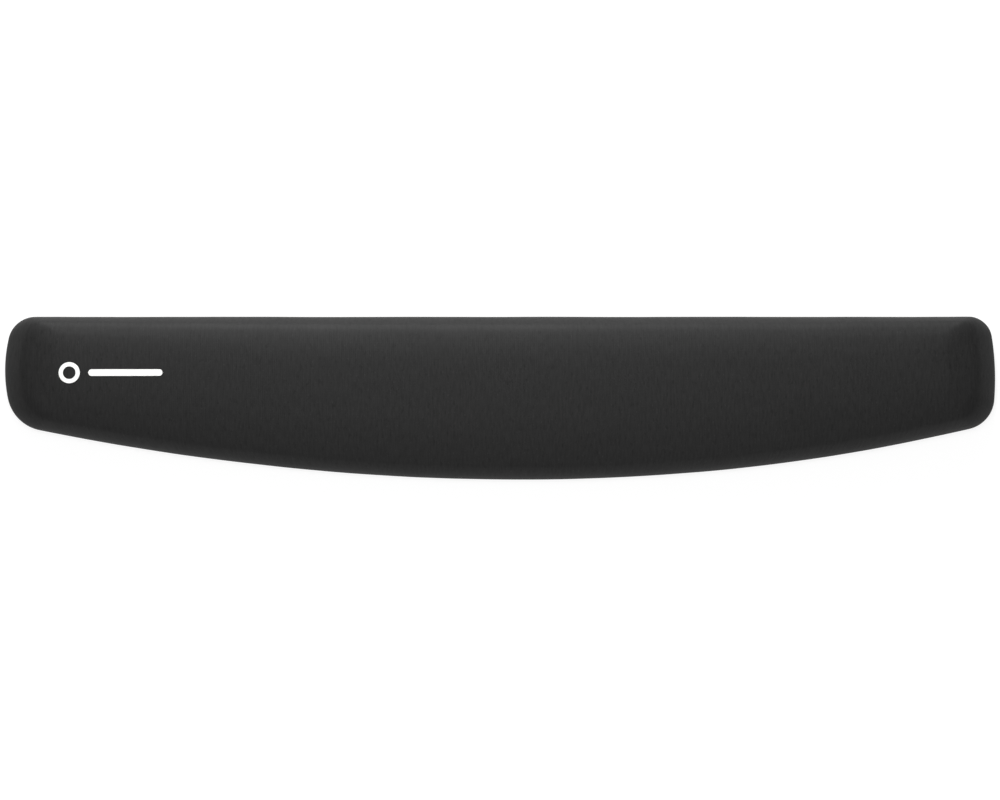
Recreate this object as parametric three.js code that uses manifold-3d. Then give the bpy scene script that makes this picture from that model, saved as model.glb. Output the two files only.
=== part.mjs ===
// A keyboard wrist rest: a long, low, domed pad that lies along the front edge of a keyboard.
// A stretch-jersey cover is drawn over a foam core on a thin stiffener. Its edge is turned under the
// stiffener, and a rubber sheet bonded over that edge keeps the rest from sliding.
// Millimetres. X runs along the keyboard, +Y points to the keyboard, +Z is up, and the origin is in
// the middle of the underside, on the desk.
import * as THREE from "three";
import { mergeVertices } from "three/addons/utils/BufferGeometryUtils.js";
import Module from "manifold-3d";

const wasm = await Module();
wasm.setup();

// Overall size of the padded body.
const LENGTH = 470;
const DEPTH = 78;
const HEIGHT = 20;

// Plan outline: a straight edge to the keyboard, bowed ends and one long arc to the user.
const FRONT_ARC_RADIUS = 1030;
const END_ARC_RADIUS = 95;
const END_ARC_CENTRE_Y = 12.5;
const REAR_CORNER_RADIUS = 12;
const FRONT_CORNER_RADIUS = 17.5;
const ARC_SEGMENTS = 6;

// Section of the pad at mid length, from its lower edge up to the crown, as (inset, height). Insets
// are measured inwards from the plan outline. A corner is where the tangents at the two ends of a
// curve meet.
const COVER_BOTTOM = 1.8;
const LOWER_ROLL = 3;
const WALL_CORNER = [0.6, 9.6];
const WALL_TOP = [4.4, 14];
const SHOULDER_CORNER = [5.9, 15.75];
const CROWN_START = [9.6, 16.74];
const CROWN_CORNER = [21.8, HEIGHT];
const CROWN_FLAT = 4;
const SECTION_SEGMENTS = 3;

// Layers under and inside the cover.
const CLEARANCE = 0.3;
const COVER_THICKNESS = 1;
const HEM_WIDTH = 12;
const STIFFENER_INSET = 4;
const STIFFENER_THICKNESS = 1.2;
const BASE_INSET = 5;
const BASE_THICKNESS = COVER_BOTTOM - CLEARANCE;
const BASE_EDGE_CHAMFER = 0.4;

// Generic printed mark near the left end: a plain ring and a plain bar of heat-transfer film.
const FILM_THICKNESS = 0.2;
const FILM_CUTTER_HEIGHT = 10;
const MARK_CENTRE_Y = 10;
const RING_CENTRE_X = -203;
const RING_OUTER_RADIUS = 5;
const RING_INNER_RADIUS = 3;
const BAR_START_X = -194;
const BAR_LENGTH = 35;
const BAR_WIDTH = 3.2;

const HALF_LENGTH = LENGTH / 2;
const HALF_DEPTH = DEPTH / 2;
const HALF_TURN = Math.PI;
const QUARTER_TURN = HALF_TURN / 2;

// Closed geometry to a solid that can be cut and joined, and back.
function toSolid(geometry) {
  const bare = geometry.clone();
  bare.deleteAttribute("normal");
  bare.deleteAttribute("uv");
  const merged = mergeVertices(bare, 1e-4);
  return new wasm.Manifold(
    new wasm.Mesh({
      numProp: 3,
      vertProperties: merged.attributes.position.array,
      triVerts: new Uint32Array(merged.index.array),
    }),
  );
}

function toGeometry(solid) {
  const mesh = solid.getMesh();
  const geometry = new THREE.BufferGeometry();
  geometry.setAttribute("position", new THREE.BufferAttribute(mesh.vertProperties, 3));
  geometry.setIndex(new THREE.BufferAttribute(mesh.triVerts, 1));
  const faceted = geometry.toNonIndexed();
  faceted.computeVertexNormals();
  return faceted;
}

// Centre of a corner arc that rolls inside two larger arcs: it lies at (radius - corner) from each
// large centre, on the +X side.
function cornerCentre(first, second, corner) {
  const a = first.radius - corner;
  const b = second.radius - corner;
  const apart = first.centre.distanceTo(second.centre);
  const along = (a * a - b * b + apart * apart) / (2 * apart);
  const across = Math.sqrt(a * a - along * along);
  const direction = second.centre.clone().sub(first.centre).divideScalar(apart);
  const foot = first.centre.clone().addScaledVector(direction, along);
  const sideways = new THREE.Vector2(-direction.y, direction.x).multiplyScalar(across);
  const corners = [foot.clone().add(sideways), foot.clone().sub(sideways)];
  return corners[0].x > corners[1].x ? corners[0] : corners[1];
}

function angleFrom(centre, point) {
  return Math.atan2(point.y - centre.y, point.x - centre.x);
}

// Plan outline of the pad, counter-clockwise, from the middle of the front edge.
function padOutline() {
  const front = {
    centre: new THREE.Vector2(0, FRONT_ARC_RADIUS - HALF_DEPTH),
    radius: FRONT_ARC_RADIUS,
  };
  const end = {
    centre: new THREE.Vector2(HALF_LENGTH - END_ARC_RADIUS, END_ARC_CENTRE_Y),
    radius: END_ARC_RADIUS,
  };
  const frontCorner = cornerCentre(front, end, FRONT_CORNER_RADIUS);
  const rearCornerY = HALF_DEPTH - REAR_CORNER_RADIUS;
  const rearCornerReach = END_ARC_RADIUS - REAR_CORNER_RADIUS;
  const rearCorner = new THREE.Vector2(
    end.centre.x + Math.sqrt(rearCornerReach ** 2 - (rearCornerY - end.centre.y) ** 2),
    rearCornerY,
  );
  const frontTurn = angleFrom(front.centre, frontCorner);
  const lowTurn = angleFrom(end.centre, frontCorner);
  const highTurn = angleFrom(end.centre, rearCorner);
  const leftHighTurn = HALF_TURN - highTurn;
  const leftLowTurn = HALF_TURN - lowTurn;
  const leftFrontTurn = HALF_TURN - frontTurn;

  const outline = new THREE.Shape();
  outline.absarc(0, front.centre.y, front.radius, -QUARTER_TURN, frontTurn);
  outline.absarc(frontCorner.x, frontCorner.y, FRONT_CORNER_RADIUS, frontTurn, lowTurn);
  outline.absarc(end.centre.x, end.centre.y, end.radius, lowTurn, highTurn);
  outline.absarc(rearCorner.x, rearCorner.y, REAR_CORNER_RADIUS, highTurn, QUARTER_TURN);
  outline.absarc(-rearCorner.x, rearCorner.y, REAR_CORNER_RADIUS, QUARTER_TURN, leftHighTurn);
  outline.absarc(-end.centre.x, end.centre.y, end.radius, leftHighTurn, leftLowTurn);
  outline.absarc(-frontCorner.x, frontCorner.y, FRONT_CORNER_RADIUS, leftLowTurn, leftFrontTurn);
  outline.absarc(0, front.centre.y, front.radius, leftFrontTurn, 3 * QUARTER_TURN);
  return outline;
}

// The pad's middle line in plan, as the y at an x: halfway between the straight rear edge and the front arc.
function middleLine(x) {
  const frontEdge = FRONT_ARC_RADIUS - HALF_DEPTH - Math.sqrt(FRONT_ARC_RADIUS ** 2 - x ** 2);
  return (HALF_DEPTH + frontEdge) / 2;
}

// A plan point moved inwards, towards the middle line, by an inset that is full size at mid length.
function insetPoint(x, y, inset) {
  const middle = middleLine(x);
  return [x * (1 - inset / HALF_LENGTH), middle + (y - middle) * (1 - inset / HALF_DEPTH)];
}

// Solid whose section is a list of (inset, height) points from the bottom up, with a flat floor and a
// flat top: the outline is extruded with one step for each point, and each step is then moved.
function loftedPad(section) {
  const steps = section.length - 1;
  const pad = new THREE.ExtrudeGeometry(padOutline(), {
    depth: steps,
    steps,
    bevelEnabled: false,
    curveSegments: ARC_SEGMENTS,
  });
  const position = pad.attributes.position;
  for (let i = 0; i < position.count; i += 1) {
    const level = section[Math.round(position.getZ(i))];
    const [x, y] = insetPoint(position.getX(i), position.getY(i), level.x);
    position.setXYZ(i, x, y, level.y);
  }
  return toSolid(pad);
}

// Section of the outside of the cover: lower roll, leaning wall, shoulder and crown.
function coverSection() {
  const section = new THREE.Path();
  section.moveTo(LOWER_ROLL, COVER_BOTTOM);
  section.quadraticCurveTo(0, COVER_BOTTOM, 0, COVER_BOTTOM + LOWER_ROLL);
  section.quadraticCurveTo(...WALL_CORNER, ...WALL_TOP);
  section.quadraticCurveTo(...SHOULDER_CORNER, ...CROWN_START);
  section.quadraticCurveTo(...CROWN_CORNER, HALF_DEPTH - CROWN_FLAT, HEIGHT);
  return section.getPoints(SECTION_SEGMENTS);
}

// The same section moved square to itself, inwards for a positive distance.
function offsetSection(section, distance) {
  return section.map((point, i) => {
    const before = section[Math.max(i - 1, 0)];
    const after = section[Math.min(i + 1, section.length - 1)];
    const direction = after.clone().sub(before).normalize();
    return new THREE.Vector2(point.x + direction.y * distance, point.y - direction.x * distance);
  });
}

// Pad solid whose surface lies a given distance inside the outside of the cover.
function padInside(distance) {
  return loftedPad(offsetSection(coverSection(), distance));
}

// Flat sheet with the pad's outline, inset, between two heights.
function flatSheet(inset, bottom, top) {
  return loftedPad([new THREE.Vector2(inset, bottom), new THREE.Vector2(inset, top)]);
}

// Everything below a height, used to cut the pad off flat.
function slabBelow(height) {
  const slab = new THREE.BoxGeometry(2 * LENGTH, 2 * DEPTH, 2 * HEIGHT);
  slab.translate(0, 0, height - HEIGHT);
  return toSolid(slab);
}

const HEM_TOP = COVER_BOTTOM + COVER_THICKNESS;
const STIFFENER_BOTTOM = HEM_TOP + CLEARANCE;
const STIFFENER_TOP = STIFFENER_BOTTOM + STIFFENER_THICKNESS;
const FOAM_BOTTOM = STIFFENER_TOP + CLEARANCE;

// Stretch-jersey cover: a thin shell, open underneath, with its edge turned under as a flat hem.
function fabricCover() {
  const hemOpening = flatSheet(HEM_WIDTH, 0, HEM_TOP + CLEARANCE);
  return padInside(0).subtract(padInside(COVER_THICKNESS)).subtract(hemOpening);
}

// Moulded foam core that fills the cover down to the stiffener.
function foamCore() {
  return padInside(COVER_THICKNESS + CLEARANCE).subtract(slabBelow(FOAM_BOTTOM));
}

// Thin plastic sheet under the foam, which the cover's edge is turned around.
function stiffenerSheet() {
  return flatSheet(STIFFENER_INSET, STIFFENER_BOTTOM, STIFFENER_TOP);
}

// Rubber sheet bonded over the hem: the face that the rest stands on.
function nonSlipBase() {
  return loftedPad([
    new THREE.Vector2(BASE_INSET + BASE_EDGE_CHAMFER, 0),
    new THREE.Vector2(BASE_INSET, BASE_EDGE_CHAMFER),
    new THREE.Vector2(BASE_INSET, BASE_THICKNESS),
  ]);
}

// Heat-transfer film that follows the crown, cut to a plan shape.
function printedFilm(shape) {
  const cutter = new THREE.ExtrudeGeometry(shape, {
    depth: FILM_CUTTER_HEIGHT,
    bevelEnabled: false,
    curveSegments: ARC_SEGMENTS,
  });
  cutter.translate(0, 0, HEIGHT - FILM_CUTTER_HEIGHT / 2);
  const film = padInside(-CLEARANCE - FILM_THICKNESS).subtract(padInside(-CLEARANCE));
  return film.intersect(toSolid(cutter));
}

function ringShape() {
  const ring = new THREE.Shape();
  ring.absarc(RING_CENTRE_X, MARK_CENTRE_Y, RING_OUTER_RADIUS, 0, 2 * HALF_TURN);
  const hole = new THREE.Path();
  hole.absarc(RING_CENTRE_X, MARK_CENTRE_Y, RING_INNER_RADIUS, 0, 2 * HALF_TURN);
  ring.holes.push(hole);
  return ring;
}

function barShape() {
  const radius = BAR_WIDTH / 2;
  const bar = new THREE.Shape();
  bar.absarc(BAR_START_X + radius, MARK_CENTRE_Y, radius, QUARTER_TURN, 3 * QUARTER_TURN);
  bar.absarc(BAR_START_X + BAR_LENGTH - radius, MARK_CENTRE_Y, radius, -QUARTER_TURN, QUARTER_TURN);
  return bar;
}

const JERSEY = new THREE.MeshStandardMaterial({ color: 0x333333, roughness: 0.9, metalness: 0 });
const FOAM = new THREE.MeshStandardMaterial({ color: 0xd8d2c0, roughness: 1, metalness: 0 });
const POLYPROPYLENE = new THREE.MeshStandardMaterial({ color: 0x8d8d8a, roughness: 0.5, metalness: 0 });
const RUBBER = new THREE.MeshStandardMaterial({ color: 0x1c1c1c, roughness: 0.85, metalness: 0 });
const WHITE_FILM = new THREE.MeshStandardMaterial({ color: 0xf2f2f0, roughness: 0.6, metalness: 0 });

function piece(name, solid, material) {
  const mesh = new THREE.Mesh(toGeometry(solid), material);
  mesh.name = name;
  return mesh;
}

const wristRest = new THREE.Group();
wristRest.add(
  piece("fabric_cover", fabricCover(), JERSEY),
  piece("foam_core", foamCore(), FOAM),
  piece("stiffener_sheet", stiffenerSheet(), POLYPROPYLENE),
  piece("non_slip_base", nonSlipBase(), RUBBER),
  piece("printed_ring", printedFilm(ringShape()), WHITE_FILM),
  piece("printed_bar", printedFilm(barShape()), WHITE_FILM),
);

export default wristRest;
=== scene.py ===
import math

import bmesh
import bpy
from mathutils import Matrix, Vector, noise
from mathutils.bvhtree import BVHTree
from mathutils.kdtree import KDTree


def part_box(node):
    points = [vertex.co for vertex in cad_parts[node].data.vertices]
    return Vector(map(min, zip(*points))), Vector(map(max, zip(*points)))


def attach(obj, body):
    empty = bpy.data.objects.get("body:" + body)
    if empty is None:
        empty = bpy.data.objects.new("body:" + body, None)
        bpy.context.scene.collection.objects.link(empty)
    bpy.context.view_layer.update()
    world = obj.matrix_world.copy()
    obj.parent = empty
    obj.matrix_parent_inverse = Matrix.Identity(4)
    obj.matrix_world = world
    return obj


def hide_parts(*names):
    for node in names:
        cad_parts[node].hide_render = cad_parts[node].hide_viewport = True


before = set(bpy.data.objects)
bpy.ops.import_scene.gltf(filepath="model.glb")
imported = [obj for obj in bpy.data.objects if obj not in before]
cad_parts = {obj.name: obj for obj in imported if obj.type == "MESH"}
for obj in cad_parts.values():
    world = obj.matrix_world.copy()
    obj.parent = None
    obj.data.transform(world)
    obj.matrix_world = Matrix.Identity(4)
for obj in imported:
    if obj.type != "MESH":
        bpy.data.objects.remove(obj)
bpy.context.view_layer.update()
scene = bpy.context.scene
MM = 0.001


# ---- Camera -------------------------------------------------------------------------------------
# A long lens nearly straight above the rest, a little towards the user's side, so that the front
# wall shows a little more than the rear one.
CAMERA_ELEVATION = math.radians(82)
CAMERA_DISTANCE = 2.2
FARTHEST_SEEN = 50
VIEW_WIDTH = 0.4733
SENSOR_WIDTH = 36
AIM = Vector((0, -0.0014, 0.008))

camera_data = bpy.data.cameras.new("studio_camera")
camera_data.sensor_width = SENSOR_WIDTH
camera_data.lens = SENSOR_WIDTH * CAMERA_DISTANCE / VIEW_WIDTH
camera_data.clip_end = FARTHEST_SEEN
camera = bpy.data.objects.new("studio_camera", camera_data)
scene.collection.objects.link(camera)
camera_offset = Vector((0, -math.cos(CAMERA_ELEVATION), math.sin(CAMERA_ELEVATION)))
camera.location = AIM + camera_offset * CAMERA_DISTANCE
camera.rotation_euler = (math.pi / 2 - CAMERA_ELEVATION, 0, 0)
scene.camera = camera
scene.view_settings.view_transform = "Standard"


# ---- Fabric cover -------------------------------------------------------------------------------
# One piece of black polyester-elastane jersey, drawn over the foam and moulded to it, so its top has
# no seam. It runs down the leaning walls, rolls under the edge, and ends in a flat glued hem that is
# gathered into small puckers at the four corners.
cover_low, cover_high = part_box("fabric_cover")
HALF_LENGTH = (cover_high[0] - cover_low[0]) / 2
HALF_DEPTH = (cover_high[1] - cover_low[1]) / 2
COVER_BOTTOM = cover_low[2]
CROWN_HEIGHT = cover_high[2]

# Plan outline: a straight rear edge, bowed ends and a long front arc, with hand-pulled corners that
# are not quite alike. Each end has the radius of its bow, how far back the bow's centre is, and the
# radii of its two corners.
FRONT_ARC_RADIUS = 1030 * MM
LEFT_END = {"bow": 72 * MM, "bow_y": 14.5 * MM, "rear_corner": 12.9 * MM, "front_corner": 20 * MM}
RIGHT_END = {"bow": 138 * MM, "bow_y": 10.8 * MM, "rear_corner": 10.9 * MM, "front_corner": 15.5 * MM}
FRONT_SKEW = 2.3 * MM
LONG_STEPS = 50  # along half of a long side
CORNER_STEPS = 16  # round a corner
END_STEPS = 6  # along half of an end

# Section at mid length, from the hem's inner edge up to the crown. Its points are (inset, height),
# and each stretch between two of them is a curve that is drawn towards the corner between them.
HEM_WIDTH = 12 * MM
LOWER_ROLL = 3 * MM
WALL_CORNER = (0.6 * MM, 9.6 * MM)
WALL_TOP = (4.4 * MM, 14 * MM)
SHOULDER_CORNER = (5.9 * MM, 15.75 * MM)
CROWN_START = (9.6 * MM, 16.74 * MM)
CROWN_CORNER = (21.8 * MM, CROWN_HEIGHT)
ROLL_STEPS = 4
WALL_STEPS = 5
SHOULDER_STEPS = 5
CROWN_STEPS = 16

# The rings of the section stop here, and a patch that domes up to the middle closes the crown.
CROWN_RING = 16 * MM
DOME_POWER = 3
SOFTENING = 0.5
SOFTENING_PASSES = 6

# The two ends lean in more than the sides, from nothing at the lower roll to this at the lean's top.
END_LEAN = 3.4 * MM
LEAN_TOP = 17 * MM
COVER_THICKNESS = 0.8 * MM


def meeting_corner(front_centre, end_centre, bow, radius):
    """Centre of a corner arc that rolls inside the front arc and the bowed end."""
    reach_front = FRONT_ARC_RADIUS - radius
    reach_end = bow - radius
    apart = (end_centre - front_centre).length
    along = (reach_front**2 - reach_end**2 + apart**2) / (2 * apart)
    across = math.sqrt(reach_front**2 - along**2)
    direction = (end_centre - front_centre) / apart
    sideways = Vector((-direction.y, direction.x))
    foot = front_centre + direction * along
    return max(foot + sideways * across, foot - sideways * across, key=lambda point: point.x)


def arc_points(centre, radius, start, end, steps):
    """Points on an arc, without its first one."""
    turns = [start + (end - start) * (i + 1) / steps for i in range(steps)]
    return [centre + radius * Vector((math.cos(turn), math.sin(turn))) for turn in turns]


def bearing(centre, point):
    """The turn at which a point is seen from a centre."""
    return math.atan2(point.y - centre.y, point.x - centre.x)


def half_outline(shape):
    """The right half of the outline, from the middle of the rear edge to the middle of the front."""
    front_centre = Vector((0, FRONT_ARC_RADIUS - HALF_DEPTH))
    end_centre = Vector((HALF_LENGTH - shape["bow"], shape["bow_y"]))
    front_radius = shape["front_corner"]
    rear_radius = shape["rear_corner"]
    front_corner = meeting_corner(front_centre, end_centre, shape["bow"], front_radius)
    rear_y = HALF_DEPTH - rear_radius
    rear_reach = shape["bow"] - rear_radius
    rear_x = end_centre.x + math.sqrt(rear_reach**2 - (rear_y - end_centre.y) ** 2)
    rear_corner = Vector((rear_x, rear_y))
    high = bearing(end_centre, rear_corner)
    low = bearing(end_centre, front_corner)
    front = bearing(front_centre, front_corner)
    points = [Vector((rear_x * i / LONG_STEPS, HALF_DEPTH)) for i in range(LONG_STEPS + 1)]
    points += arc_points(rear_corner, rear_radius, math.pi / 2, high, CORNER_STEPS)
    points += arc_points(end_centre, shape["bow"], high, low, 2 * END_STEPS)
    points += arc_points(front_corner, front_radius, low, front, CORNER_STEPS)
    points += arc_points(front_centre, FRONT_ARC_RADIUS, front, -math.pi / 2, LONG_STEPS)
    return points


def skewed(point):
    """The front arc is pulled slightly further out on the right than on the left."""
    across = (HALF_DEPTH - point.y) / (2 * HALF_DEPTH)
    along = point.x / HALF_LENGTH
    return Vector((point.x, point.y - FRONT_SKEW * along * (1 - along**2) * across))


def pad_outline():
    """Outline points, clockwise from the middle of the rear edge. Point k and point -k face each
    other across x = 0."""
    right = half_outline(RIGHT_END)
    left = [Vector((-point.x, point.y)) for point in half_outline(LEFT_END)]
    return [skewed(point) for point in right + left[-2:0:-1]]


def middle_line(x):
    """The pad's middle line in plan, halfway between the rear edge and the front arc."""
    front_edge = FRONT_ARC_RADIUS - HALF_DEPTH - math.sqrt(FRONT_ARC_RADIUS**2 - x**2)
    return (HALF_DEPTH + front_edge) / 2


def end_shares(outline):
    """How far each outline point belongs to an end: 0 on the long sides, 1 on the bowed ends."""
    shares = []
    for before, after in zip(outline[-1:] + outline[:-1], outline[1:] + outline[:1]):
        shares.append((after - before).normalized().y ** 2)
    return shares


def lean(height):
    """How much further in the bowed ends are than the long sides at this height."""
    lean_bottom = COVER_BOTTOM + LOWER_ROLL
    up = (height - lean_bottom) / (LEAN_TOP - lean_bottom)
    return END_LEAN * math.sin(math.pi / 2 * min(max(up, 0), 1))


def inset_point(edge, inset):
    """An outline point moved in towards the middle line."""
    middle = middle_line(edge.x)
    return Vector((
        edge.x * (1 - inset / HALF_LENGTH),
        middle + (edge.y - middle) * (1 - inset / HALF_DEPTH),
    ))


def curve_points(start, corner, end, steps):
    """Points of a quadratic curve, without its first one."""
    points = []
    for i in range(1, steps + 1):
        t = i / steps
        weights = ((1 - t) ** 2, 2 * t * (1 - t), t**2)
        ends = (start, corner, end)
        points.append(tuple(sum(w * p[axis] for w, p in zip(weights, ends)) for axis in (0, 1)))
    return points


def pad_section():
    """The outside of the pad, from the edge of its flat bottom to where the crown starts to dome."""
    start = (LOWER_ROLL, COVER_BOTTOM)
    roll_top = (0, COVER_BOTTOM + LOWER_ROLL)
    points = [start]
    points += curve_points(start, (0, COVER_BOTTOM), roll_top, ROLL_STEPS)
    points += curve_points(roll_top, WALL_CORNER, WALL_TOP, WALL_STEPS)
    points += curve_points(WALL_TOP, SHOULDER_CORNER, CROWN_START, SHOULDER_STEPS)
    crown = curve_points(CROWN_START, CROWN_CORNER, (HALF_DEPTH, CROWN_HEIGHT), CROWN_STEPS)
    return points + [point for point in crown if point[0] < CROWN_RING]


def offset_section(section, distance):
    """A section moved square to itself, inwards for a positive distance."""
    moved = []
    for i, point in enumerate(section):
        before = Vector(section[max(i - 1, 0)])
        after = Vector(section[min(i + 1, len(section) - 1)])
        direction = (after - before).normalized()
        moved.append((point[0] + direction.y * distance, point[1] - direction.x * distance))
    return moved


def fill_ring(bm, ring, level):
    """Closes a ring with a patch of small four-sided faces, between two rails: its rear and its
    front side, which end at the middle of each corner. Returns the points inside the patch."""
    half_rail = LONG_STEPS + CORNER_STEPS // 2
    half_way = 2 * (LONG_STEPS + CORNER_STEPS + END_STEPS)
    place = bm.verts.layers.int["place"]
    rails = []
    for edge in ring:
        for middle in (0, half_way):
            turned = [vert[place] - middle + half_way for vert in edge.verts]
            if all(abs(steps % (2 * half_way) - half_way) <= half_rail for steps in turned):
                rails.append(edge)
    before = set(bm.verts)
    bmesh.ops.grid_fill(bm, edges=rails)
    inner = [vert for vert in bm.verts if vert not in before]
    for vert in inner:
        vert[bm.verts.layers.int["level"]] = level
    return inner


def finished_piece(name, bm):
    """A smooth-shaded object at the origin, from a bmesh."""
    mesh = bpy.data.meshes.new(name)
    bm.to_mesh(mesh)
    bm.free()
    mesh.shade_smooth()
    piece = bpy.data.objects.new(name, mesh)
    scene.collection.objects.link(piece)
    return piece


def loft_pad(name, section, rise=0, closed_below=False):
    """A pad skin: the outline is extruded once for each point of the section, and a patch that
    domes up by the rise closes the last ring. Its points know their place along the outline and
    their level in the section. The UV map is the flat cut of the cloth, in metres."""
    bm = bmesh.new()
    place = bm.verts.layers.int.new("place")
    level = bm.verts.layers.int.new("level")
    uv = bm.loops.layers.uv.new("flat_cut")
    outline = pad_outline()
    shares = end_shares(outline)

    def settle(verts, step):
        inset, height = section[step]
        for vert in verts:
            vert[level] = step
            k = vert[place]
            spot = inset_point(outline[k], inset + lean(height) * shares[k])
            vert.co = (spot.x, spot.y, height)

    ring = bmesh.ops.create_circle(bm, segments=len(outline), radius=1)["verts"]
    for k, vert in enumerate(ring):
        vert[place] = k
    settle(ring, 0)
    first_ring = list(bm.edges)
    last_ring = first_ring
    for step in range(1, len(section)):
        made = bmesh.ops.extrude_edge_only(bm, edges=last_ring)["geom"]
        settle([item for item in made if isinstance(item, bmesh.types.BMVert)], step)
        last_ring = [item for item in made if isinstance(item, bmesh.types.BMEdge)]

    # A patch belongs to no ring: its level is one before the first or one after the last.
    if closed_below:
        fill_ring(bm, first_ring, -1)
    # The crown's patch rises steeply from its rim and is level in the middle.
    inset, height = section[-1]
    rim = KDTree(len(outline))
    for edge in last_ring:
        rim.insert(edge.verts[0].co, edge.verts[0][place])
    rim.balance()
    crown = fill_ring(bm, last_ring, len(section))
    for vert in crown:
        inside = rim.find(vert.co)[2] / (HALF_DEPTH - inset)
        vert.co.z = height + rise * (1 - max(1 - inside, 0) ** DOME_POWER)
    for _ in range(SOFTENING_PASSES):
        bmesh.ops.smooth_vert(bm, verts=crown, factor=SOFTENING, use_axis_z=True)

    # In the flat cut, each ring is as far outside the crown as the cloth between them is long.
    crown_lean = lean(height)
    flat_inset = [inset]
    for low, high in zip(section[-2::-1], section[:0:-1]):
        flat_inset.insert(0, flat_inset[0] - (Vector(high) - Vector(low)).length)
    for face in bm.faces:
        for loop in face.loops:
            vert = loop.vert
            k = vert[place]
            if 0 <= vert[level] < len(section):
                edge_inset = flat_inset[vert[level]] + crown_lean * shares[k]
                loop[uv].uv = inset_point(outline[k], edge_inset)
            else:
                loop[uv].uv = vert.co.xy

    # A skin that is open below can come out turned inwards: its upper faces have to point up.
    bmesh.ops.recalc_face_normals(bm, faces=bm.faces)
    if sum(face.normal.z * face.calc_center_median().z * face.calc_area() for face in bm.faces) < 0:
        bmesh.ops.reverse_faces(bm, faces=bm.faces)
    return finished_piece(name, bm)


# The foam swells the jersey: its crown starts a little slack and is pushed up, the hem stays where
# it is glued, and the pull of the cloth softens the shoulder.
SWELL_FRAMES = 20
SWELL_PRESSURE = 0.3
JERSEY_STIFFNESS = 60
JERSEY_SHEAR = 20
JERSEY_BENDING = 5
MOST_SWELL = 1 * MM
CROWN_SLACK = 0.3 * MM


def swell(piece, glued_levels, free_level):
    """Runs the cloth for a few frames under pressure and keeps the result. It is held fast on its
    glued levels, and less and less from there up to the free level."""
    mesh = piece.data
    hem = piece.vertex_groups.new(name="hem")
    for vert, step in zip(mesh.vertices, mesh.attributes["level"].data):
        held = (free_level - step.value) / (free_level - glued_levels)
        if held > 0:
            hem.add([vert.index], min(held, 1), "REPLACE")
    cloth = piece.modifiers.new("swell", "CLOTH")
    cloth.settings.vertex_group_mass = hem.name
    cloth.settings.use_pressure = True
    cloth.settings.uniform_pressure_force = SWELL_PRESSURE
    cloth.settings.effector_weights.gravity = 0
    cloth.settings.tension_stiffness = JERSEY_STIFFNESS
    cloth.settings.compression_stiffness = JERSEY_STIFFNESS
    cloth.settings.shear_stiffness = JERSEY_SHEAR
    cloth.settings.bending_stiffness = JERSEY_BENDING
    cloth.point_cache.frame_end = SWELL_FRAMES
    for frame_number in range(1, SWELL_FRAMES + 1):
        scene.frame_set(frame_number)
    swollen = piece.evaluated_get(bpy.context.evaluated_depsgraph_get()).to_mesh()
    for vert, moved in zip(mesh.vertices, swollen.vertices):
        shift = moved.co - vert.co
        if shift.length > MOST_SWELL:
            shift *= MOST_SWELL / shift.length
        vert.co = vert.co + shift
    piece.modifiers.remove(cloth)
    piece.vertex_groups.remove(hem)
    scene.frame_set(1)


# Unevenness of the hand-made pad, as (length, height): long low waves with shorter ones over them.
WAVES = ((45 * MM, 0.16 * MM), (11 * MM, 0.05 * MM))


def soften(piece):
    """Moves each point a little in or out along its normal."""
    mesh = piece.data
    shifts = []
    for vert in mesh.vertices:
        depth = sum(noise.noise(vert.co / length) * height for length, height in WAVES)
        shifts.append(vert.normal * depth)
    for vert, shift in zip(mesh.vertices, shifts):
        vert.co = vert.co + shift


# Gathers of the hem: their depth, and how many steps of the outline each one takes. They and the
# glue's hold are gone at this level of the section, which is on the wall.
WALL_LEVEL = 8
PUCKER_DEPTH = 0.22 * MM
PUCKER_STEPS = 5


def pucker_corners(piece, hem_levels, wall_level):
    """Small gathers where the hem turns a corner, deepest on the flat hem and gone at the wall."""
    mesh = piece.data
    quarter = LONG_STEPS + CORNER_STEPS + END_STEPS
    levels = mesh.attributes["level"].data
    places = mesh.attributes["place"].data
    for vert, step, place in zip(mesh.vertices, levels, places):
        along = place.value % (2 * quarter)
        from_middle = min(along, 2 * quarter - along)
        into_corner = from_middle - LONG_STEPS
        if step.value >= wall_level or not 0 < into_corner < CORNER_STEPS:
            continue
        fade = math.sin(math.pi * into_corner / CORNER_STEPS)
        if step.value > hem_levels:
            fade *= 1 - (step.value - hem_levels) / (wall_level - hem_levels)
        vert.co.z += PUCKER_DEPTH * fade * math.sin(2 * math.pi * into_corner / PUCKER_STEPS)


def thicken(piece, thickness, offset):
    """Gives a skin its thickness: inwards for an offset of -1, outwards for 1."""
    wall = piece.modifiers.new("thickness", "SOLIDIFY")
    wall.thickness = thickness
    wall.offset = offset


mid_hem = (HEM_WIDTH + LOWER_ROLL) / 2
hem_section = [(HEM_WIDTH, COVER_BOTTOM), (mid_hem, COVER_BOTTOM)]
skin_section = hem_section + pad_section()
cover = loft_pad("jersey_cover", skin_section, CROWN_HEIGHT - CROWN_SLACK - skin_section[-1][1])
swell(cover, len(hem_section), WALL_LEVEL)
soften(cover)
pucker_corners(cover, len(hem_section), WALL_LEVEL)
smooth = cover.modifiers.new("smooth", "SUBSURF")
smooth.levels = 1
smooth.render_levels = 1
thicken(cover, COVER_THICKNESS, -1)


def linear(hex_colour):
    """An sRGB hex colour as linear RGBA."""
    parts = [int(hex_colour[i : i + 2], 16) / 255 for i in (1, 3, 5)]
    return tuple(c / 12.92 if c <= 0.04045 else ((c + 0.055) / 1.055) ** 2.4 for c in parts) + (1,)


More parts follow.
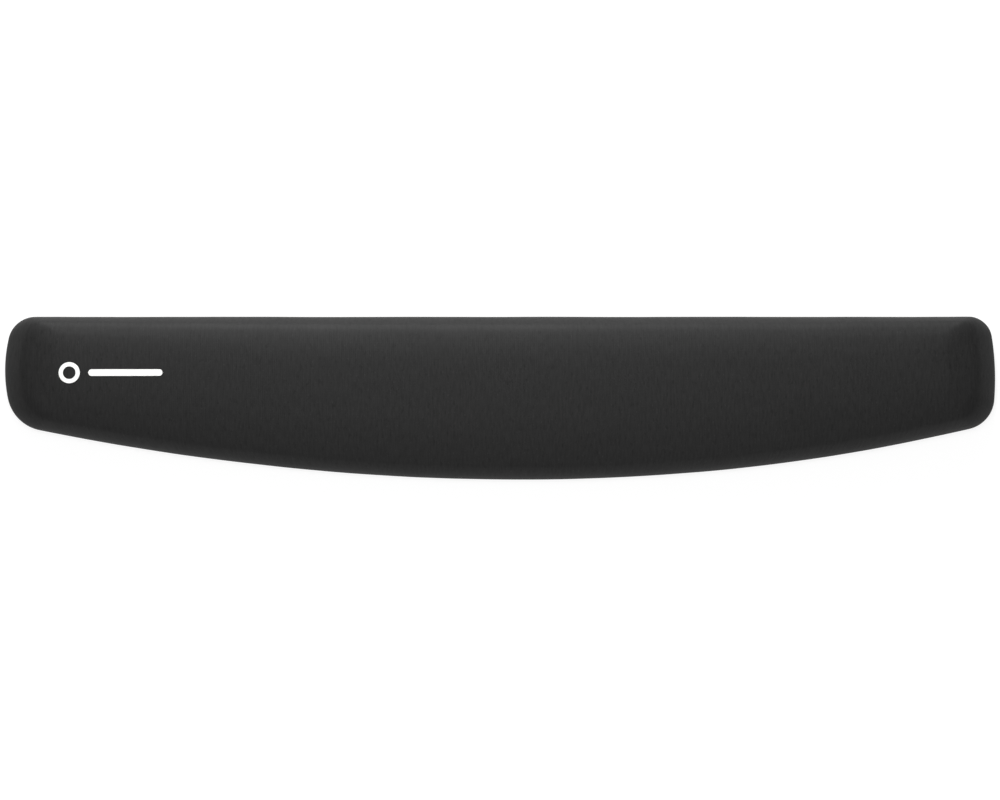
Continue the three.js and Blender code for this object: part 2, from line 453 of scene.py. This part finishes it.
def add_node(tree, kind, settings=None, links=None):
    """Adds a node, sets its own settings, and sets or links its inputs."""
    made = tree.nodes.new(kind)
    for name, value in (settings or {}).items():
        setattr(made, name, value)
    for name, value in (links or {}).items():
        if isinstance(value, bpy.types.NodeSocket):
            tree.links.new(value, made.inputs[name])
        else:
            made.inputs[name].default_value = value
    return made


def new_material(name):
    """An empty material and its node tree."""
    material = bpy.data.materials.new(name)
    material.use_nodes = True
    material.node_tree.nodes.clear()
    return material, material.node_tree


def finish_material(tree, surface):
    """Links a surface shader to the material's output."""
    add_node(tree, "ShaderNodeOutputMaterial", links={"Surface": surface.outputs["BSDF"]})


# Some inputs and outputs share one name, so they are told apart by number: the two colours that a
# colour Mix goes between and its result, and the terms of a Multiply Add.
MIX_FROM = 6
MIX_TO = 7
MIXED = 2
VALUE = 0
TIMES = 1
PLUS = 2

# What each pattern of the jersey repeats over, across and along the wales. The real wales are 0.4 mm
# apart, too fine to show from here, so they are drawn 0.95 mm apart, and the rest to suit.
JERSEY_PATTERNS = {
    "wale": (0.95 * MM, 1.2 * MM),
    "course": (0.95 * MM, 0.8 * MM),
    "streak": (1 * MM, 6 * MM),
    "dash": (1.5 * MM, 3.6 * MM),
    "fleck": (0.8 * MM, 1.6 * MM),
    "cloud": (30 * MM, 22 * MM),
}
ONE_WAVE = math.pi / 10  # the scale at which a Wave texture repeats once per unit
COURSE_SHARE = 0.5  # of a wale's relief
STREAK_SHARE = 1.2
KNIT_DEPTH = 0.06 * MM


def jersey_material():
    """Fine black polyester-elastane jersey, circular-knitted and piece-dyed. It is matt. Its wales
    run from back to front as faint broken streaks, the yarn takes the dye a little unevenly, a few
    stitches are drawn in as short darker dashes, and a few fibres stand up as paler flecks."""
    material, tree = new_material("black polyester-elastane jersey")
    cut = add_node(tree, "ShaderNodeUVMap", {"uv_map": "flat_cut"})
    cloth = {}
    for pattern, (across, along) in JERSEY_PATTERNS.items():
        mapping = add_node(
            tree,
            "ShaderNodeMapping",
            links={"Vector": cut.outputs["UV"], "Scale": (1 / across, 1 / along, 1)},
        )
        cloth[pattern] = mapping.outputs["Vector"]

    streak = add_node(
        tree,
        "ShaderNodeTexNoise",
        {"noise_dimensions": "2D"},
        {"Vector": cloth["streak"], "Scale": 1, "Detail": 2, "Roughness": 0.6},
    )
    yarn = add_node(
        tree,
        "ShaderNodeMapRange",
        links={"Value": streak.outputs["Fac"], "From Min": 0.3, "From Max": 0.7},
    )
    dyed = add_node(
        tree,
        "ShaderNodeMix",
        {"data_type": "RGBA"},
        {"Factor": yarn.outputs["Result"], MIX_FROM: linear("#1e1e1e"), MIX_TO: linear("#242424")},
    )
    cloud = add_node(
        tree,
        "ShaderNodeTexNoise",
        {"noise_dimensions": "2D"},
        {"Vector": cloth["cloud"], "Scale": 1, "Detail": 3, "Roughness": 0.55},
    )
    clouded = add_node(
        tree,
        "ShaderNodeMix",
        {"data_type": "RGBA", "blend_type": "MULTIPLY"},
        {"Factor": 0.2, MIX_FROM: dyed.outputs[MIXED], MIX_TO: cloud.outputs["Fac"]},
    )
    dash = add_node(
        tree,
        "ShaderNodeTexNoise",
        {"noise_dimensions": "2D"},
        {"Vector": cloth["dash"], "Scale": 1, "Detail": 1.5},
    )
    dash_mask = add_node(
        tree,
        "ShaderNodeMapRange",
        {"interpolation_type": "SMOOTHSTEP"},
        {"Value": dash.outputs["Fac"], "From Min": 0.62, "From Max": 0.75, "To Max": 0.4},
    )
    dashed = add_node(
        tree,
        "ShaderNodeMix",
        {"data_type": "RGBA"},
        {
            "Factor": dash_mask.outputs["Result"],
            MIX_FROM: clouded.outputs[MIXED],
            MIX_TO: linear("#101010"),
        },
    )
    fleck = add_node(
        tree,
        "ShaderNodeTexNoise",
        {"noise_dimensions": "2D"},
        {"Vector": cloth["fleck"], "Scale": 1, "Detail": 1},
    )
    fleck_mask = add_node(
        tree,
        "ShaderNodeMapRange",
        links={"Value": fleck.outputs["Fac"], "From Min": 0.7, "From Max": 0.8, "To Max": 0.2},
    )
    flecked = add_node(
        tree,
        "ShaderNodeMix",
        {"data_type": "RGBA"},
        {
            "Factor": fleck_mask.outputs["Result"],
            MIX_FROM: dashed.outputs[MIXED],
            MIX_TO: linear("#3c3c3c"),
        },
    )

    wale = add_node(
        tree,
        "ShaderNodeTexWave",
        {"bands_direction": "X"},
        {"Vector": cloth["wale"], "Scale": ONE_WAVE, "Distortion": 0.8, "Detail": 1},
    )
    course = add_node(
        tree,
        "ShaderNodeTexWave",
        {"bands_direction": "Y"},
        {"Vector": cloth["course"], "Scale": ONE_WAVE, "Distortion": 1.2, "Detail": 1},
    )
    knit = add_node(
        tree,
        "ShaderNodeMath",
        {"operation": "MULTIPLY_ADD"},
        {VALUE: course.outputs["Fac"], TIMES: COURSE_SHARE, PLUS: wale.outputs["Fac"]},
    )
    relief = add_node(
        tree,
        "ShaderNodeMath",
        {"operation": "MULTIPLY_ADD"},
        {VALUE: streak.outputs["Fac"], TIMES: STREAK_SHARE, PLUS: knit.outputs["Value"]},
    )
    bump = add_node(
        tree,
        "ShaderNodeBump",
        links={"Height": relief.outputs["Value"], "Strength": 0.18, "Distance": KNIT_DEPTH},
    )
    roughness = add_node(
        tree,
        "ShaderNodeMapRange",
        links={"Value": cloud.outputs["Fac"], "To Min": 0.55, "To Max": 0.65},
    )
    surface = add_node(
        tree,
        "ShaderNodeBsdfPrincipled",
        links={
            "Base Color": flecked.outputs[MIXED],
            "Roughness": roughness.outputs["Result"],
            "IOR": 1.45,
            "Specular IOR Level": 0.2,
            "Normal": bump.outputs["Normal"],
        },
    )
    finish_material(tree, surface)
    return material


cover.data.materials.append(jersey_material())
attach(cover, "root")
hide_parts("fabric_cover")


# ---- Foam core ----------------------------------------------------------------------------------
# The slow-recovery polyurethane pad under the jersey. It is moulded in one piece, and its flat foot is
# glued to the stiffener.
foam_low, foam_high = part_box("foam_core")
FOAM_FOOT_ROUND = 0.8 * MM
CELL_SIZE = 0.5 * MM
CELL_DEPTH = 0.2 * MM
BLOW_HOLE_SPACING = 3 * MM
SKIN_PATCH = 25 * MM


def foam_section():
    """From the edge of the flat foot, up along the inside of the cover."""
    inner = offset_section(pad_section(), CROWN_HEIGHT - foam_high[2])
    wall = [point for point in inner if point[1] > foam_low[2] + FOAM_FOOT_ROUND]
    return [(wall[0][0] + FOAM_FOOT_ROUND, foam_low[2])] + wall


def foam_material():
    """Slow-recovery polyurethane foam, moulded in cream: soft, dull, open cells of about 0.5 mm,
    and a few larger blow holes that are only painted shade, a darker cream where each one is."""
    material, tree = new_material("moulded polyurethane foam")
    place = add_node(tree, "ShaderNodeTexCoord")
    cells = add_node(
        tree, "ShaderNodeTexVoronoi", links={"Vector": place.outputs["Object"], "Scale": 1 / CELL_SIZE}
    )
    holes = add_node(
        tree,
        "ShaderNodeTexVoronoi",
        links={"Vector": place.outputs["Object"], "Scale": 1 / BLOW_HOLE_SPACING},
    )
    hole_shade_mask = add_node(
        tree, "ShaderNodeMapRange", links={"Value": holes.outputs["Distance"], "From Max": 0.2}
    )
    tone = add_node(
        tree, "ShaderNodeTexNoise", links={"Vector": place.outputs["Object"], "Scale": 1 / SKIN_PATCH}
    )
    skin = add_node(
        tree,
        "ShaderNodeMix",
        {"data_type": "RGBA"},
        {"Factor": tone.outputs["Fac"], MIX_FROM: linear("#d2cab0"), MIX_TO: linear("#e4dfcd")},
    )
    # Painted shade: the blow holes are only a darker cream in the colour, standing in for the shade
    # inside them.
    hole_shaded_skin = add_node(
        tree,
        "ShaderNodeMix",
        {"data_type": "RGBA"},
        {
            "Factor": hole_shade_mask.outputs["Result"],
            MIX_FROM: linear("#a89f84"),
            MIX_TO: skin.outputs[MIXED],
        },
    )
    bump = add_node(
        tree,
        "ShaderNodeBump",
        links={"Height": cells.outputs["Distance"], "Strength": 0.5, "Distance": CELL_DEPTH},
    )
    surface = add_node(
        tree,
        "ShaderNodeBsdfPrincipled",
        links={
            "Base Color": hole_shaded_skin.outputs[MIXED],
            "Roughness": 0.95,
            "Normal": bump.outputs["Normal"],
        },
    )
    finish_material(tree, surface)
    return material


foam_rise = foam_high[2] - foam_section()[-1][1]
foam = loft_pad("foam_core_pad", foam_section(), foam_rise, closed_below=True)
foam.data.materials.append(foam_material())
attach(foam, "root")
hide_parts("foam_core")


# ---- Stiffener ----------------------------------------------------------------------------------
# A die-cut polypropylene sheet, 1.2 mm thick, under the foam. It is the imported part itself, which
# only gets its finish here.
DRAW_LINE_LENGTH = 60 * MM
DRAW_LINE_WIDTH = 0.8 * MM
DRAW_LINE_DEPTH = 0.05 * MM


def polypropylene_material():
    """Extruded polypropylene sheet, uncoloured grey: waxy, with the fine draw lines of the
    extruder along its length."""
    material, tree = new_material("extruded polypropylene sheet")
    place = add_node(tree, "ShaderNodeTexCoord")
    drawn = add_node(
        tree,
        "ShaderNodeMapping",
        links={
            "Vector": place.outputs["Object"],
            "Scale": (1 / DRAW_LINE_LENGTH, 1 / DRAW_LINE_WIDTH, 1 / MM),
        },
    )
    lines = add_node(tree, "ShaderNodeTexNoise", links={"Vector": drawn.outputs["Vector"], "Scale": 1})
    tone = add_node(
        tree,
        "ShaderNodeMix",
        {"data_type": "RGBA"},
        {"Factor": lines.outputs["Fac"], MIX_FROM: linear("#838380"), MIX_TO: linear("#979793")},
    )
    bump = add_node(
        tree,
        "ShaderNodeBump",
        links={"Height": lines.outputs["Fac"], "Strength": 0.3, "Distance": DRAW_LINE_DEPTH},
    )
    surface = add_node(
        tree,
        "ShaderNodeBsdfPrincipled",
        links={
            "Base Color": tone.outputs[MIXED],
            "Roughness": 0.45,
            "Normal": bump.outputs["Normal"],
        },
    )
    finish_material(tree, surface)
    return material


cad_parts["stiffener_sheet"].material_slots[0].material = polypropylene_material()


# ---- Rubber base --------------------------------------------------------------------------------
# A calendered sheet of black natural rubber, bonded over the hem. Its underside is moulded with
# small round grip studs, which are what touches the desk.
base_low, base_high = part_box("non_slip_base")
BASE_INSET = HALF_LENGTH - base_high[0]
BASE_EDGE_ROUND = 0.4 * MM
STUD_HEIGHT = 0.3 * MM
STUD_FOOT_RADIUS = 1.0 * MM
STUD_ROOT_RADIUS = 1.3 * MM
STUD_PITCH = 4.2 * MM
STUD_SINK = 0.1 * MM
STUD_MARGIN = 4 * MM
STUD_SIDES = 10
MOULD_GRAIN = 0.4 * MM
MOULD_GRAIN_DEPTH = 0.08 * MM
BLOOM_PATCH = 18 * MM


def base_section():
    """From the underside, round the edge, to the top."""
    bottom = base_low[2] + STUD_HEIGHT
    return [
        (BASE_INSET + BASE_EDGE_ROUND, bottom),
        (BASE_INSET, bottom + BASE_EDGE_ROUND),
        (BASE_INSET, base_high[2]),
    ]


def on_base(x, y):
    """Whether a stud centred here is clear of the sheet's edge, whose ends are rounded."""
    reach = BASE_INSET + STUD_MARGIN
    half_depth = (HALF_DEPTH - middle_line(x)) * (1 - reach / HALF_DEPTH)
    end = HALF_LENGTH - reach
    rounding = half_depth / 2
    into_rounding = max(abs(x) - (end - rounding), 0) / rounding
    room = half_depth * math.sqrt(max(1 - into_rounding**4, 0))
    return abs(x) < end and abs(y - middle_line(x)) < room


def add_studs(piece):
    """Fills the underside with staggered studs, which are sunk a little into the sheet: two rows are
    repeated over the whole box, and the studs that miss the sheet are taken away."""
    row_pitch = STUD_PITCH * math.sqrt(3) / 2
    length = STUD_HEIGHT + STUD_SINK
    pair = bmesh.new()
    for x, y in ((0, 0), (STUD_PITCH / 2, row_pitch)):
        stud = bmesh.ops.create_cone(
            pair,
            cap_ends=True,
            segments=STUD_SIDES,
            radius1=STUD_FOOT_RADIUS,
            radius2=STUD_ROOT_RADIUS,
            depth=length,
        )["verts"]
        start = Vector((x - HALF_LENGTH, y - HALF_DEPTH, base_low[2] + length / 2))
        bmesh.ops.translate(pair, verts=stud, vec=start)
    field = finished_piece("stud_field", pair)
    for reach, step in ((HALF_LENGTH, (STUD_PITCH, 0, 0)), (HALF_DEPTH, (0, 2 * row_pitch, 0))):
        rows = field.modifiers.new("rows", "ARRAY")
        rows.count = int(2 * reach / max(step))
        rows.use_relative_offset = False
        rows.use_constant_offset = True
        rows.constant_offset_displace = step

    bm = bmesh.new()
    bm.from_mesh(field.evaluated_get(bpy.context.evaluated_depsgraph_get()).to_mesh())
    verts = list(bm.verts)
    off_base = []
    for first in range(0, len(verts), 2 * STUD_SIDES):
        stud = verts[first : first + 2 * STUD_SIDES]
        centre = sum((vert.co for vert in stud), Vector()) / len(stud)
        if not on_base(centre.x, centre.y):
            off_base += stud
    bmesh.ops.delete(bm, geom=off_base, context="VERTS")
    bm.from_mesh(piece.data)
    bm.to_mesh(piece.data)
    bm.free()
    bpy.data.objects.remove(field)


def rubber_material():
    """Calendered natural rubber, filled with carbon black: deep grey-black, dull, with the fine
    grain of the mould and a trace of pale bloom."""
    material, tree = new_material("black natural rubber")
    place = add_node(tree, "ShaderNodeTexCoord")
    grain = add_node(
        tree,
        "ShaderNodeTexNoise",
        links={"Vector": place.outputs["Object"], "Scale": 1 / MOULD_GRAIN, "Detail": 3},
    )
    bloom = add_node(
        tree,
        "ShaderNodeTexNoise",
        links={"Vector": place.outputs["Object"], "Scale": 1 / BLOOM_PATCH, "Detail": 4},
    )
    tone = add_node(
        tree,
        "ShaderNodeMix",
        {"data_type": "RGBA"},
        {"Factor": bloom.outputs["Fac"], MIX_FROM: linear("#191919"), MIX_TO: linear("#2a2a2b")},
    )
    bump = add_node(
        tree,
        "ShaderNodeBump",
        links={"Height": grain.outputs["Fac"], "Strength": 0.4, "Distance": MOULD_GRAIN_DEPTH},
    )
    roughness = add_node(
        tree,
        "ShaderNodeMapRange",
        links={"Value": bloom.outputs["Fac"], "To Min": 0.65, "To Max": 0.85},
    )
    surface = add_node(
        tree,
        "ShaderNodeBsdfPrincipled",
        links={
            "Base Color": tone.outputs[MIXED],
            "Roughness": roughness.outputs["Result"],
            "Normal": bump.outputs["Normal"],
        },
    )
    finish_material(tree, surface)
    return material


base = loft_pad("grip_base", base_section(), closed_below=True)
add_studs(base)
base.data.shade_flat()
base.data.materials.append(rubber_material())
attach(base, "root")
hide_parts("non_slip_base")


# ---- Printed mark -------------------------------------------------------------------------------
# A plain ring and a plain bar of white heat-transfer film, pressed onto the jersey near the left
# end. The film is about a tenth of a millimetre thick and follows the crown.
ring_low, ring_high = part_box("printed_ring")
bar_low, bar_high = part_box("printed_bar")
FILM_THICKNESS = 0.12 * MM
FILM_LIFT = 0.02 * MM
RING_STROKE = 2 * MM
RING_SIDES = 64
BAR_END_SIDES = 32
BAR_SLICE = 1 * MM
KNIT_SHOWING = 0.5 * MM
KNIT_SHOWING_DEPTH = 0.04 * MM


def lay_on_jersey(piece, surface):
    """Drops each point of a flat shape onto the jersey."""
    for vert in piece.data.vertices:
        above = Vector((vert.co.x, vert.co.y, 2 * CROWN_HEIGHT))
        hit = surface.ray_cast(above, Vector((0, 0, -1)))[0]
        vert.co.z = hit.z + FILM_LIFT


def printed_ring():
    """A flat ring: a disc, inset by the stroke, without its middle."""
    bm = bmesh.new()
    centre = (Vector(ring_low) + Vector(ring_high)) / 2
    radius = (ring_high[0] - ring_low[0]) / 2
    bmesh.ops.create_circle(bm, cap_ends=True, segments=RING_SIDES, radius=radius)
    rims = bmesh.ops.inset_region(
        bm, faces=list(bm.faces), thickness=RING_STROKE, use_boundary=True, use_even_offset=True
    )["faces"]
    bmesh.ops.delete(bm, geom=[face for face in bm.faces if face not in rims], context="FACES")
    bmesh.ops.translate(bm, verts=bm.verts, vec=(centre.x, centre.y, 0))
    return finished_piece("ring_print", bm)


def printed_bar():
    """A flat bar with round ends: a disc whose halves are moved apart, cut into slices that can
    follow the crown."""
    bm = bmesh.new()
    radius = (bar_high[1] - bar_low[1]) / 2
    centre_y = (bar_high[1] + bar_low[1]) / 2
    bmesh.ops.create_circle(bm, cap_ends=True, segments=BAR_END_SIDES, radius=radius)
    for vert in bm.verts:
        centre_x = bar_high[0] - radius if vert.co.x > 0 else bar_low[0] + radius
        vert.co = (vert.co.x + centre_x, vert.co.y + centre_y, 0)
    slices = int((bar_high[0] - bar_low[0] - 2 * radius) / BAR_SLICE)
    for i in range(slices):
        bmesh.ops.bisect_plane(
            bm,
            geom=list(bm.verts) + list(bm.edges) + list(bm.faces),
            plane_co=(bar_low[0] + radius + (i + 0.5) * BAR_SLICE, 0, 0),
            plane_no=(1, 0, 0),
        )
    return finished_piece("bar_print", bm)


def film_material():
    """White polyurethane heat-transfer film, hot-pressed: opaque and matt, with the knit showing
    through as a fine texture."""
    material, tree = new_material("white heat-transfer film")
    place = add_node(tree, "ShaderNodeTexCoord")
    knit = add_node(
        tree,
        "ShaderNodeTexNoise",
        links={"Vector": place.outputs["Object"], "Scale": 1 / KNIT_SHOWING, "Detail": 2},
    )
    tone = add_node(
        tree,
        "ShaderNodeMix",
        {"data_type": "RGBA"},
        {"Factor": knit.outputs["Fac"], MIX_FROM: linear("#efefec"), MIX_TO: linear("#fafaf8")},
    )
    bump = add_node(
        tree,
        "ShaderNodeBump",
        links={"Height": knit.outputs["Fac"], "Strength": 0.4, "Distance": KNIT_SHOWING_DEPTH},
    )
    surface = add_node(
        tree,
        "ShaderNodeBsdfPrincipled",
        links={
            "Base Color": tone.outputs[MIXED],
            "Roughness": 0.5,
            "Normal": bump.outputs["Normal"],
        },
    )
    finish_material(tree, surface)
    return material


white_film = film_material()
jersey = BVHTree.FromObject(cover, bpy.context.evaluated_depsgraph_get())
for print_piece, node_name in ((printed_ring(), "printed_ring"), (printed_bar(), "printed_bar")):
    lay_on_jersey(print_piece, jersey)
    print_piece.data.shade_flat()
    thicken(print_piece, FILM_THICKNESS, 1)
    print_piece.data.materials.append(white_film)
    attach(print_piece, "root")
    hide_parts(node_name)


# ---- Studio -------------------------------------------------------------------------------------
# A white acrylic table that is lit from below, so that the rest hardly shades it. The main light is a
# softbox behind the rest, with a small one overhead and a wide fill from the front.
FLOOR_SIZE = 12
WORLD_STRENGTH = 0.3


def acrylic_material():
    """Opal white acrylic sheet, lit from below: even, matt and shadowless."""
    material, tree = new_material("backlit opal acrylic")
    surface = add_node(
        tree,
        "ShaderNodeBsdfPrincipled",
        links={
            "Base Color": linear("#8c8c8c"),
            "Roughness": 1,
            "Specular IOR Level": 0,
            "Emission Color": linear("#ffffff"),
            "Emission Strength": 0.83,
        },
    )
    finish_material(tree, surface)
    return material


floor_mesh = bpy.data.meshes.new("white_table")
floor_form = bmesh.new()
bmesh.ops.create_grid(floor_form, x_segments=1, y_segments=1, size=FLOOR_SIZE / 2)
floor_form.to_mesh(floor_mesh)
floor_form.free()
floor = bpy.data.objects.new("white_table", floor_mesh)
floor.data.materials.append(acrylic_material())
scene.collection.objects.link(floor)

world = bpy.data.worlds.new("studio_air")
world.use_nodes = True
world.node_tree.nodes["Background"].inputs["Color"].default_value = (1, 1, 1, 1)
world.node_tree.nodes["Background"].inputs["Strength"].default_value = WORLD_STRENGTH
scene.world = world


def softbox(name, place, width, height, watts):
    """A softbox turned to the rest, which the camera doesn't see."""
    light_data = bpy.data.lights.new(name, "AREA")
    light_data.shape = "RECTANGLE"
    light_data.size = width
    light_data.size_y = height
    light_data.energy = watts
    light = bpy.data.objects.new(name, light_data)
    light.location = place
    aim = Vector((place[0] / 2, 0, 0))
    light.rotation_euler = (aim - light.location).to_track_quat("-Z", "Y").to_euler()
    light.visible_camera = False
    scene.collection.objects.link(light)


softbox("rear_softbox", place=(-0.1, 0.906, 0.423), width=0.6, height=0.3, watts=13.6)
softbox("overhead_softbox", place=(-0.1, 0.105, 0.995), width=0.5, height=0.3, watts=2.1)
softbox("front_fill", place=(0, -1.273, 1.273), width=1.8, height=0.5, watts=10.4)
